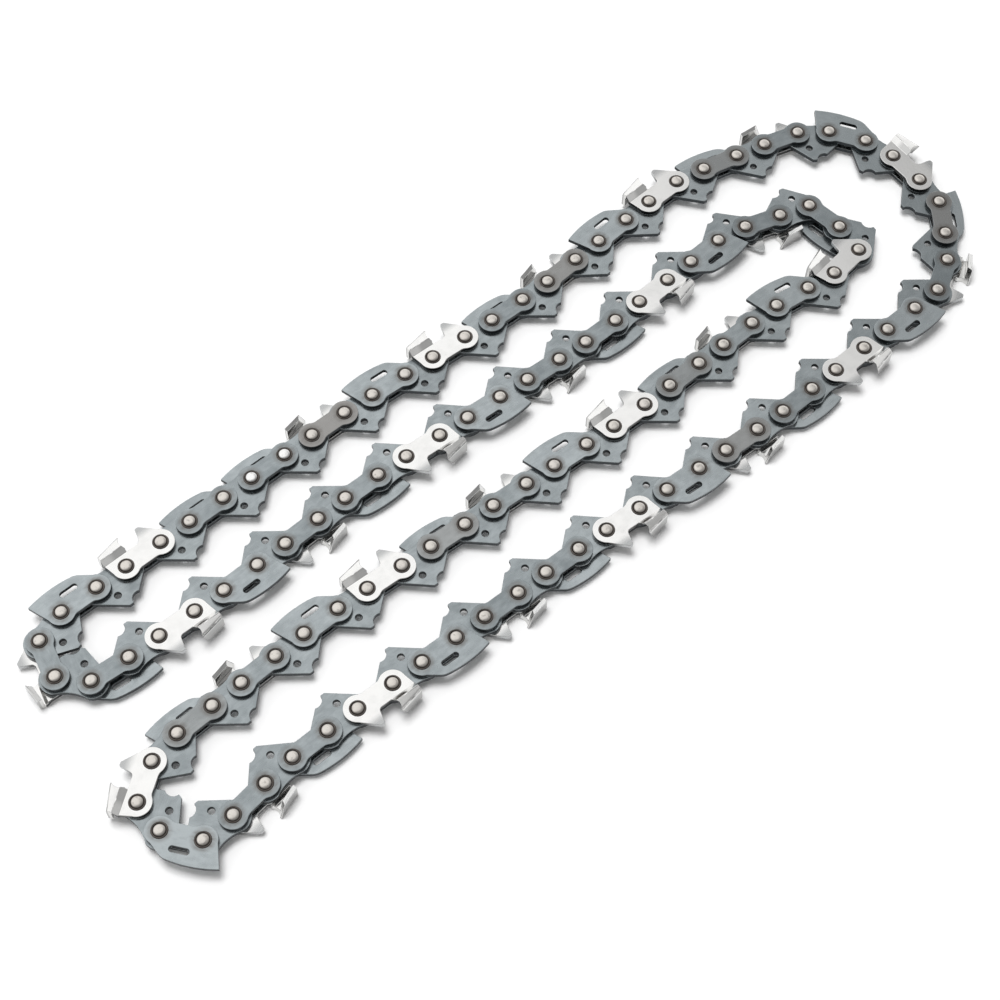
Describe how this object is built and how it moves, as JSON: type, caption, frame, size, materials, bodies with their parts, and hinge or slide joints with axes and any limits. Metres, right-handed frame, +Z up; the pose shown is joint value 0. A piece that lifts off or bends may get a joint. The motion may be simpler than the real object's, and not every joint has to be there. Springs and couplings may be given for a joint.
{
  "type": "chainsaw chain loop",
  "caption": "Closed loop of low-profile saw chain lying on its side, folded into a C: hooked drive links, chromed cutters, slotted guard links and plain straps on riveted pivots.",
  "frame": {"origin": "bottom centre of the loop as it lies", "axes": "+X along the four strands, from the two hairpins to the outer bend; +Y across them; +Z up, towards the right-hand side of the chain"},
  "size_m": [0.274, 0.0842, 0.0062],
  "materials": {
    "link_steel": "satin",
    "cutter_chrome": "polished",
    "rivet_steel": "satin"
  },
  "bodies": {
    "left_guard_01": {"left_guard_01": "link_steel"},
    "left_cutter_01": {"left_cutter_01": "cutter_chrome"},
    "right_guard_01": {"right_guard_01": "link_steel"},
    "right_cutter_01": {"right_cutter_01": "cutter_chrome"},
    "left_guard_02": {"left_guard_02": "link_steel"},
    "left_cutter_02": {"left_cutter_02": "cutter_chrome"},
    "right_guard_02": {"right_guard_02": "link_steel"},
    "right_cutter_02": {"right_cutter_02": "cutter_chrome"},
    "left_guard_03": {"left_guard_03": "link_steel"},
    "left_cutter_03": {"left_cutter_03": "cutter_chrome"},
    "right_guard_03": {"right_guard_03": "link_steel"},
    "right_cutter_03": {"right_cutter_03": "cutter_chrome"},
    "left_guard_04": {"left_guard_04": "link_steel"},
    "left_cutter_04": {"left_cutter_04": "cutter_chrome"},
    "right_guard_04": {"right_guard_04": "link_steel"},
    "right_cutter_04": {"right_cutter_04": "cutter_chrome"},
    "left_guard_05": {"left_guard_05": "link_steel"},
    "closing_link": {"closing_link": "link_steel"},
    "left_cutter_05": {"left_cutter_05": "cutter_chrome"},
    "right_guard_05": {"right_guard_05": "link_steel"},
    "right_cutter_05": {"right_cutter_05": "cutter_chrome"},
    "left_guard_06": {"left_guard_06": "link_steel"},
    "left_cutter_06": {"left_cutter_06": "cutter_chrome"},
    "right_guard_06": {"right_guard_06": "link_steel"},
    "right_cutter_06": {"right_cutter_06": "cutter_chrome"},
    "left_guard_07": {"left_guard_07": "link_steel"},
    "left_cutter_07": {"left_cutter_07": "cutter_chrome"},
    "right_guard_07": {"right_guard_07": "link_steel"},
    "right_cutter_07": {"right_cutter_07": "cutter_chrome"},
    "left_guard_08": {"left_guard_08": "link_steel"},
    "left_cutter_08": {"left_cutter_08": "cutter_chrome"},
    "right_guard_08": {"right_guard_08": "link_steel"},
    "right_cutter_08": {"right_cutter_08": "cutter_chrome"},
    "left_guard_09": {"left_guard_09": "link_steel"},
    "left_cutter_09": {"left_cutter_09": "cutter_chrome"},
    "right_guard_09": {"right_guard_09": "link_steel"},
    "right_cutter_09": {"right_cutter_09": "cutter_chrome"},
    "left_guard_10": {"left_guard_10": "link_steel"},
    "left_cutter_10": {"left_cutter_10": "cutter_chrome"},
    "right_guard_10": {"right_guard_10": "link_steel"},
    "right_cutter_10": {"right_cutter_10": "cutter_chrome"},
    "left_guard_11": {"left_guard_11": "link_steel"},
    "left_cutter_11": {"left_cutter_11": "cutter_chrome"},
    "right_guard_11": {"right_guard_11": "link_steel"},
    "right_cutter_11": {"right_cutter_11": "cutter_chrome"},
    "left_guard_12": {"left_guard_12": "link_steel"},
    "left_cutter_12": {"left_cutter_12": "cutter_chrome"},
    "right_guard_12": {"right_guard_12": "link_steel"},
    "right_cutter_12": {"right_cutter_12": "cutter_chrome"},
    "left_guard_13": {"left_guard_13": "link_steel"},
    "left_cutter_13": {"left_cutter_13": "cutter_chrome"},
    "right_guard_13": {"right_guard_13": "link_steel"},
    "right_cutter_13": {"right_cutter_13": "cutter_chrome"},
    "left_guard_14": {"left_guard_14": "link_steel"},
    "left_cutter_14": {"left_cutter_14": "cutter_chrome"},
    "right_guard_14": {"right_guard_14": "link_steel"},
    "right_cutter_14": {"right_cutter_14": "cutter_chrome"}
  },
  "joints": [
    {"name": "left_cutter_01_pivot", "type": "hinge", "parent": "left_guard_01", "child": "left_cutter_01", "pos_m": [0.10095, 0.00706, 0.00311], "axis": [0, 0, 1], "range_deg": [-3.35, 0]},
    {"name": "inner_hairpin", "type": "hinge", "parent": "left_cutter_01", "child": "right_guard_01", "pos_m": [0.08317, 0.01266, 0.00311], "axis": [0, 0, 1], "range_deg": [0, 6]},
    {"name": "right_cutter_01_pivot", "type": "hinge", "parent": "right_guard_01", "child": "right_cutter_01", "pos_m": [0.06463, 0.01338, 0.00311], "axis": [0, 0, 1], "range_deg": [-4.3, 0]},
    {"name": "left_guard_02_pivot", "type": "hinge", "parent": "right_cutter_01", "child": "left_guard_02", "pos_m": [0.04601, 0.01243, 0.00311], "axis": [0, 0, 1], "range_deg": [-8.04, 0.8]},
    {"name": "left_cutter_02_pivot", "type": "hinge", "parent": "left_guard_02", "child": "left_cutter_02", "pos_m": [0.02738, 0.01183, 0.00311], "axis": [0, 0, 1], "range_deg": [-8.81, 0.88]},
    {"name": "right_guard_02_pivot", "type": "hinge", "parent": "left_cutter_02", "child": "right_guard_02", "pos_m": [0.00876, 0.01254, 0.00311], "axis": [0, 0, 1], "range_deg": [-0.34, 3.41]},
    {"name": "right_cutter_02_pivot", "type": "hinge", "parent": "right_guard_02", "child": "right_cutter_02", "pos_m": [-0.00986, 0.01339, 0.00311], "axis": [0, 0, 1], "range_deg": [-1.02, 10.23]},
    {"name": "left_guard_03_pivot", "type": "hinge", "parent": "right_cutter_02", "child": "left_guard_03", "pos_m": [-0.02848, 0.01424, 0.00311], "axis": [0, 0, 1], "range_deg": [-0.33, 3.33]},
    {"name": "left_cutter_03_pivot", "type": "hinge", "parent": "left_guard_03", "child": "left_cutter_03", "pos_m": [-0.04712, 0.01449, 0.00311], "axis": [0, 0, 1], "range_deg": [-3.25, 0.33]},
    {"name": "upper_arm_tip", "type": "hinge", "parent": "left_cutter_03", "child": "right_guard_03", "pos_m": [-0.06574, 0.01368, 0.00311], "axis": [0, 0, -1], "range_deg": [-1, 10]},
    {"name": "right_cutter_03_pivot", "type": "hinge", "parent": "right_guard_03", "child": "right_cutter_03", "pos_m": [-0.08436, 0.01288, 0.00311], "axis": [0, 0, 1], "range_deg": [-0.75, 7.53]},
    {"name": "left_guard_04_pivot", "type": "hinge", "parent": "right_cutter_03", "child": "left_guard_04", "pos_m": [-0.103, 0.01279, 0.00311], "axis": [0, 0, 1], "range_deg": [-1.07, 10.66]},
    {"name": "left_cutter_04_pivot", "type": "hinge", "parent": "left_guard_04", "child": "left_cutter_04", "pos_m": [-0.12163, 0.01336, 0.00311], "axis": [0, 0, 1], "range_deg": [-4.16, 0.42]},
    {"name": "right_guard_04_pivot", "type": "hinge", "parent": "left_cutter_04", "child": "right_guard_04", "pos_m": [-0.12534, 0.02938, 0.00311], "axis": [0, 0, 1], "range_deg": [-0.48, 4.85]},
    {"name": "right_cutter_04_pivot", "type": "hinge", "parent": "right_guard_04", "child": "right_cutter_04", "pos_m": [-0.10725, 0.03256, 0.00311], "axis": [0, 0, 1], "range_deg": [-9.19, 0.92]},
    {"name": "left_guard_05_pivot", "type": "hinge", "parent": "right_cutter_04", "child": "left_guard_05", "pos_m": [-0.08861, 0.03289, 0.00311], "axis": [0, 0, 1], "range_deg": [-9.51, 0.95]},
    {"name": "closing_link_pivot", "type": "hinge", "parent": "left_guard_05", "child": "closing_link", "pos_m": [-0.06998, 0.03323, 0.00311], "axis": [0, 0, 1], "range_deg": [-0.87, 8.7]},
    {"name": "left_cutter_05_pivot", "type": "hinge", "parent": "closing_link", "child": "left_cutter_05", "pos_m": [-0.05134, 0.03356, 0.00311], "axis": [0, 0, 1], "range_deg": [-0.64, 6.39]},
    {"name": "right_guard_05_pivot", "type": "hinge", "parent": "left_cutter_05", "child": "right_guard_05", "pos_m": [-0.0327, 0.0338, 0.00311], "axis": [0, 0, 1], "range_deg": [-5.86, 0.59]},
    {"name": "right_cutter_05_pivot", "type": "hinge", "parent": "right_guard_05", "child": "right_cutter_05", "pos_m": [-0.01407, 0.0331, 0.00311], "axis": [0, 0, 1], "range_deg": [-8.51, 0.85]},
    {"name": "left_guard_06_pivot", "type": "hinge", "parent": "right_cutter_05", "child": "left_guard_06", "pos_m": [0.00455, 0.0323, 0.00311], "axis": [0, 0, 1], "range_deg": [-2.51, 0.25]},
    {"name": "upper_arm_root", "type": "hinge", "parent": "left_guard_06", "child": "left_cutter_06", "pos_m": [0.02318, 0.03182, 0.00311], "axis": [0, 0, 1], "range_deg": [-1, 10]},
    {"name": "right_guard_06_pivot", "type": "hinge", "parent": "left_cutter_06", "child": "right_guard_06", "pos_m": [0.04179, 0.03281, 0.00311], "axis": [0, 0, 1], "range_deg": [-0.48, 4.76]},
    {"name": "right_cutter_06_pivot", "type": "hinge", "parent": "right_guard_06", "child": "right_cutter_06", "pos_m": [0.06038, 0.03414, 0.00311], "axis": [0, 0, 1], "range_deg": [-3.71, 3.71]},
    {"name": "outer_bend", "type": "hinge", "parent": "right_cutter_06", "child": "left_guard_07", "pos_m": [0.079, 0.03505, 0.00311], "axis": [0, 0, -1], "range_deg": [-4, 4]},
    {"name": "left_cutter_07_pivot", "type": "hinge", "parent": "left_guard_07", "child": "left_cutter_07", "pos_m": [0.09726, 0.03134, 0.00311], "axis": [0, 0, 1], "range_deg": [-1.12, 1.12]},
    {"name": "right_guard_07_pivot", "type": "hinge", "parent": "left_cutter_07", "child": "right_guard_07", "pos_m": [0.1153, 0.02669, 0.00311], "axis": [0, 0, 1], "range_deg": [-1.11, 1.11]},
    {"name": "right_cutter_07_pivot", "type": "hinge", "parent": "right_guard_07", "child": "right_cutter_07", "pos_m": [0.12765, 0.01314, 0.00311], "axis": [0, 0, 1], "range_deg": [-1.28, 1.28]},
    {"name": "right_cutter_14_pivot", "type": "hinge", "parent": "left_guard_01", "child": "right_cutter_14", "pos_m": [0.10107, -0.01139, 0.00311], "axis": [0, 0, 1], "range_deg": [0, 3.9]},
    {"name": "right_guard_14_pivot", "type": "hinge", "parent": "right_cutter_14", "child": "right_guard_14", "pos_m": [0.08256, -0.01175, 0.00311], "axis": [0, 0, 1], "range_deg": [-7.14, 0]},
    {"name": "left_cutter_14_pivot", "type": "hinge", "parent": "right_guard_14", "child": "left_cutter_14", "pos_m": [0.06398, -0.01059, 0.00311], "axis": [0, 0, 1], "range_deg": [0, 2.79]},
    {"name": "left_guard_14_pivot", "type": "hinge", "parent": "left_cutter_14", "child": "left_guard_14", "pos_m": [0.04535, -0.01104, 0.00311], "axis": [0, 0, 1], "range_deg": [-0.32, 3.24]},
    {"name": "right_cutter_13_pivot", "type": "hinge", "parent": "left_guard_14", "child": "right_cutter_13", "pos_m": [0.02671, -0.01148, 0.00311], "axis": [0, 0, 1], "range_deg": [-1.07, 10.71]},
    {"name": "right_guard_13_pivot", "type": "hinge", "parent": "right_cutter_13", "child": "right_guard_13", "pos_m": [0.00808, -0.01103, 0.00311], "axis": [0, 0, 1], "range_deg": [-0.33, 3.28]},
    {"name": "left_cutter_13_pivot", "type": "hinge", "parent": "right_guard_13", "child": "left_cutter_13", "pos_m": [-0.01054, -0.01022, 0.00311], "axis": [0, 0, 1], "range_deg": [-7.02, 0.7]},
    {"name": "left_guard_13_pivot", "type": "hinge", "parent": "left_cutter_13", "child": "left_guard_13", "pos_m": [-0.02917, -0.00942, 0.00311], "axis": [0, 0, 1], "range_deg": [-10.65, 1.06]},
    {"name": "right_cutter_12_pivot", "type": "hinge", "parent": "left_guard_13", "child": "right_cutter_12", "pos_m": [-0.04779, -0.00861, 0.00311], "axis": [0, 0, 1], "range_deg": [-1.15, 11.48]},
    {"name": "right_guard_12_pivot", "type": "hinge", "parent": "right_cutter_12", "child": "right_guard_12", "pos_m": [-0.06641, -0.00792, 0.00311], "axis": [0, 0, 1], "range_deg": [-0.28, 2.77]},
    {"name": "lower_arm_tip", "type": "hinge", "parent": "right_guard_12", "child": "left_cutter_12", "pos_m": [-0.08504, -0.00848, 0.00311], "axis": [0, 0, -1], "range_deg": [-1, 10]},
    {"name": "left_guard_12_pivot", "type": "hinge", "parent": "left_cutter_12", "child": "left_guard_12", "pos_m": [-0.10366, -0.00937, 0.00311], "axis": [0, 0, 1], "range_deg": [-0.27, 2.75]},
    {"name": "right_cutter_11_pivot", "type": "hinge", "parent": "left_guard_12", "child": "right_cutter_11", "pos_m": [-0.12207, -0.01177, 0.00311], "axis": [0, 0, 1], "range_deg": [-3.89, 0.39]},
    {"name": "right_guard_11_pivot", "type": "hinge", "parent": "right_cutter_11", "child": "right_guard_11", "pos_m": [-0.1301, -0.02631, 0.00311], "axis": [0, 0, 1], "range_deg": [-2.72, 0.27]},
    {"name": "left_cutter_11_pivot", "type": "hinge", "parent": "right_guard_11", "child": "left_cutter_11", "pos_m": [-0.11533, -0.03374, 0.00311], "axis": [0, 0, 1], "range_deg": [-0.95, 9.49]},
    {"name": "left_guard_11_pivot", "type": "hinge", "parent": "left_cutter_11", "child": "left_guard_11", "pos_m": [-0.09688, -0.03109, 0.00311], "axis": [0, 0, 1], "range_deg": [-0.28, 2.77]},
    {"name": "right_cutter_10_pivot", "type": "hinge", "parent": "left_guard_11", "child": "right_cutter_10", "pos_m": [-0.07824, -0.03102, 0.00311], "axis": [0, 0, 1], "range_deg": [-0.28, 2.79]},
    {"name": "right_guard_10_pivot", "type": "hinge", "parent": "right_cutter_10", "child": "right_guard_10", "pos_m": [-0.0596, -0.03124, 0.00311], "axis": [0, 0, 1], "range_deg": [-10.66, 1.07]},
    {"name": "left_cutter_10_pivot", "type": "hinge", "parent": "right_guard_10", "child": "left_cutter_10", "pos_m": [-0.04096, -0.03146, 0.00311], "axis": [0, 0, 1], "range_deg": [-2.77, 0.28]},
    {"name": "left_guard_10_pivot", "type": "hinge", "parent": "left_cutter_10", "child": "left_guard_10", "pos_m": [-0.02232, -0.03168, 0.00311], "axis": [0, 0, 1], "range_deg": [-0.69, 6.89]},
    {"name": "right_cutter_09_pivot", "type": "hinge", "parent": "left_guard_10", "child": "right_cutter_09", "pos_m": [-0.00369, -0.03219, 0.00311], "axis": [0, 0, 1], "range_deg": [-0.48, 4.8]},
    {"name": "right_guard_09_pivot", "type": "hinge", "parent": "right_cutter_09", "child": "right_guard_09", "pos_m": [0.01493, -0.03311, 0.00311], "axis": [0, 0, 1], "range_deg": [-0.83, 8.28]},
    {"name": "lower_arm_root", "type": "hinge", "parent": "right_guard_09", "child": "left_cutter_09", "pos_m": [0.03354, -0.03402, 0.00311], "axis": [0, 0, -1], "range_deg": [-1, 10]},
    {"name": "left_guard_09_pivot", "type": "hinge", "parent": "left_cutter_09", "child": "left_guard_09", "pos_m": [0.05217, -0.03469, 0.00311], "axis": [0, 0, 1], "range_deg": [-7.54, 0.75]},
    {"name": "right_cutter_08_pivot", "type": "hinge", "parent": "left_guard_09", "child": "right_cutter_08", "pos_m": [0.07081, -0.0343, 0.00311], "axis": [0, 0, 1], "range_deg": [-3.86, 3.86]},
    {"name": "right_guard_08_pivot", "type": "hinge", "parent": "right_cutter_08", "child": "right_guard_08", "pos_m": [0.08944, -0.03385, 0.00311], "axis": [0, 0, 1], "range_deg": [-3.67, 3.67]},
    {"name": "left_cutter_08_pivot", "type": "hinge", "parent": "right_guard_08", "child": "left_cutter_08", "pos_m": [0.10807, -0.03327, 0.00311], "axis": [0, 0, 1], "range_deg": [-1.14, 1.14]},
    {"name": "left_guard_08_pivot", "type": "hinge", "parent": "left_cutter_08", "child": "left_guard_08", "pos_m": [0.12252, -0.02185, 0.00311], "axis": [0, 0, 1], "range_deg": [-1.14, 1.14]}
  ],
  "couplings": [
    {"joint": "left_cutter_01_pivot", "follows": "inner_hairpin", "ratio": -0.46489},
    {"joint": "right_cutter_01_pivot", "follows": "inner_hairpin", "ratio": -0.59753},
    {"joint": "left_guard_02_pivot", "follows": "upper_arm_root", "ratio": -0.67038},
    {"joint": "left_cutter_02_pivot", "follows": "upper_arm_root", "ratio": -0.73387},
    {"joint": "right_guard_02_pivot", "follows": "upper_arm_root", "ratio": 0.28423},
    {"joint": "right_cutter_02_pivot", "follows": "upper_arm_root", "ratio": 0.85263},
    {"joint": "left_guard_03_pivot", "follows": "upper_arm_root", "ratio": 0.27771},
    {"joint": "left_cutter_03_pivot", "follows": "upper_arm_tip", "ratio": -0.27093},
    {"joint": "right_cutter_03_pivot", "follows": "upper_arm_tip", "ratio": 0.62737},
    {"joint": "left_guard_04_pivot", "follows": "upper_arm_tip", "ratio": 0.88796},
    {"joint": "left_cutter_04_pivot", "follows": "upper_arm_tip", "ratio": -0.34691},
    {"joint": "right_guard_04_pivot", "follows": "upper_arm_tip", "ratio": 0.40376},
    {"joint": "right_cutter_04_pivot", "follows": "upper_arm_tip", "ratio": -0.76546},
    {"joint": "left_guard_05_pivot", "follows": "upper_arm_tip", "ratio": -0.79285},
    {"joint": "closing_link_pivot", "follows": "upper_arm_tip", "ratio": 0.72494},
    {"joint": "left_cutter_05_pivot", "follows": "upper_arm_tip", "ratio": 0.53212},
    {"joint": "right_guard_05_pivot", "follows": "upper_arm_root", "ratio": -0.48847},
    {"joint": "right_cutter_05_pivot", "follows": "upper_arm_root", "ratio": -0.70939},
    {"joint": "left_guard_06_pivot", "follows": "upper_arm_root", "ratio": -0.20914},
    {"joint": "right_guard_06_pivot", "follows": "upper_arm_root", "ratio": 0.39667},
    {"joint": "right_cutter_06_pivot", "follows": "outer_bend", "ratio": 0.77206},
    {"joint": "left_cutter_07_pivot", "follows": "outer_bend", "ratio": 0.23416},
    {"joint": "right_guard_07_pivot", "follows": "outer_bend", "ratio": 0.23175},
    {"joint": "right_cutter_07_pivot", "follows": "outer_bend", "ratio": -0.26675},
    {"joint": "right_cutter_14_pivot", "follows": "inner_hairpin", "ratio": 0.54102},
    {"joint": "right_guard_14_pivot", "follows": "inner_hairpin", "ratio": -0.99122},
    {"joint": "left_cutter_14_pivot", "follows": "inner_hairpin", "ratio": 0.38777},
    {"joint": "left_guard_14_pivot", "follows": "lower_arm_root", "ratio": 0.27029},
    {"joint": "right_cutter_13_pivot", "follows": "lower_arm_root", "ratio": 0.89285},
    {"joint": "right_guard_13_pivot", "follows": "lower_arm_root", "ratio": 0.27335},
    {"joint": "left_cutter_13_pivot", "follows": "lower_arm_root", "ratio": -0.58493},
    {"joint": "left_guard_13_pivot", "follows": "lower_arm_root", "ratio": -0.8871},
    {"joint": "right_cutter_12_pivot", "follows": "lower_arm_tip", "ratio": 0.95656},
    {"joint": "right_guard_12_pivot", "follows": "lower_arm_tip", "ratio": 0.23086},
    {"joint": "left_guard_12_pivot", "follows": "lower_arm_tip", "ratio": 0.229},
    {"joint": "right_cutter_11_pivot", "follows": "lower_arm_tip", "ratio": -0.32451},
    {"joint": "right_guard_11_pivot", "follows": "lower_arm_tip", "ratio": -0.22646},
    {"joint": "left_cutter_11_pivot", "follows": "lower_arm_tip", "ratio": 0.79119},
    {"joint": "left_guard_11_pivot", "follows": "lower_arm_tip", "ratio": 0.23053},
    {"joint": "right_cutter_10_pivot", "follows": "lower_arm_tip", "ratio": 0.23208},
    {"joint": "right_guard_10_pivot", "follows": "lower_arm_tip", "ratio": -0.88868},
    {"joint": "left_cutter_10_pivot", "follows": "lower_arm_tip", "ratio": -0.23056},
    {"joint": "left_guard_10_pivot", "follows": "lower_arm_root", "ratio": 0.57398},
    {"joint": "right_cutter_09_pivot", "follows": "lower_arm_root", "ratio": 0.39988},
    {"joint": "right_guard_09_pivot", "follows": "lower_arm_root", "ratio": 0.69025},
    {"joint": "left_guard_09_pivot", "follows": "lower_arm_root", "ratio": -0.62857},
    {"joint": "right_cutter_08_pivot", "follows": "outer_bend", "ratio": 0.8051},
    {"joint": "right_guard_08_pivot", "follows": "outer_bend", "ratio": -0.76453},
    {"joint": "left_cutter_08_pivot", "follows": "outer_bend", "ratio": -0.23735},
    {"joint": "left_guard_08_pivot", "follows": "outer_bend", "ratio": 0.23817}
  ]
}
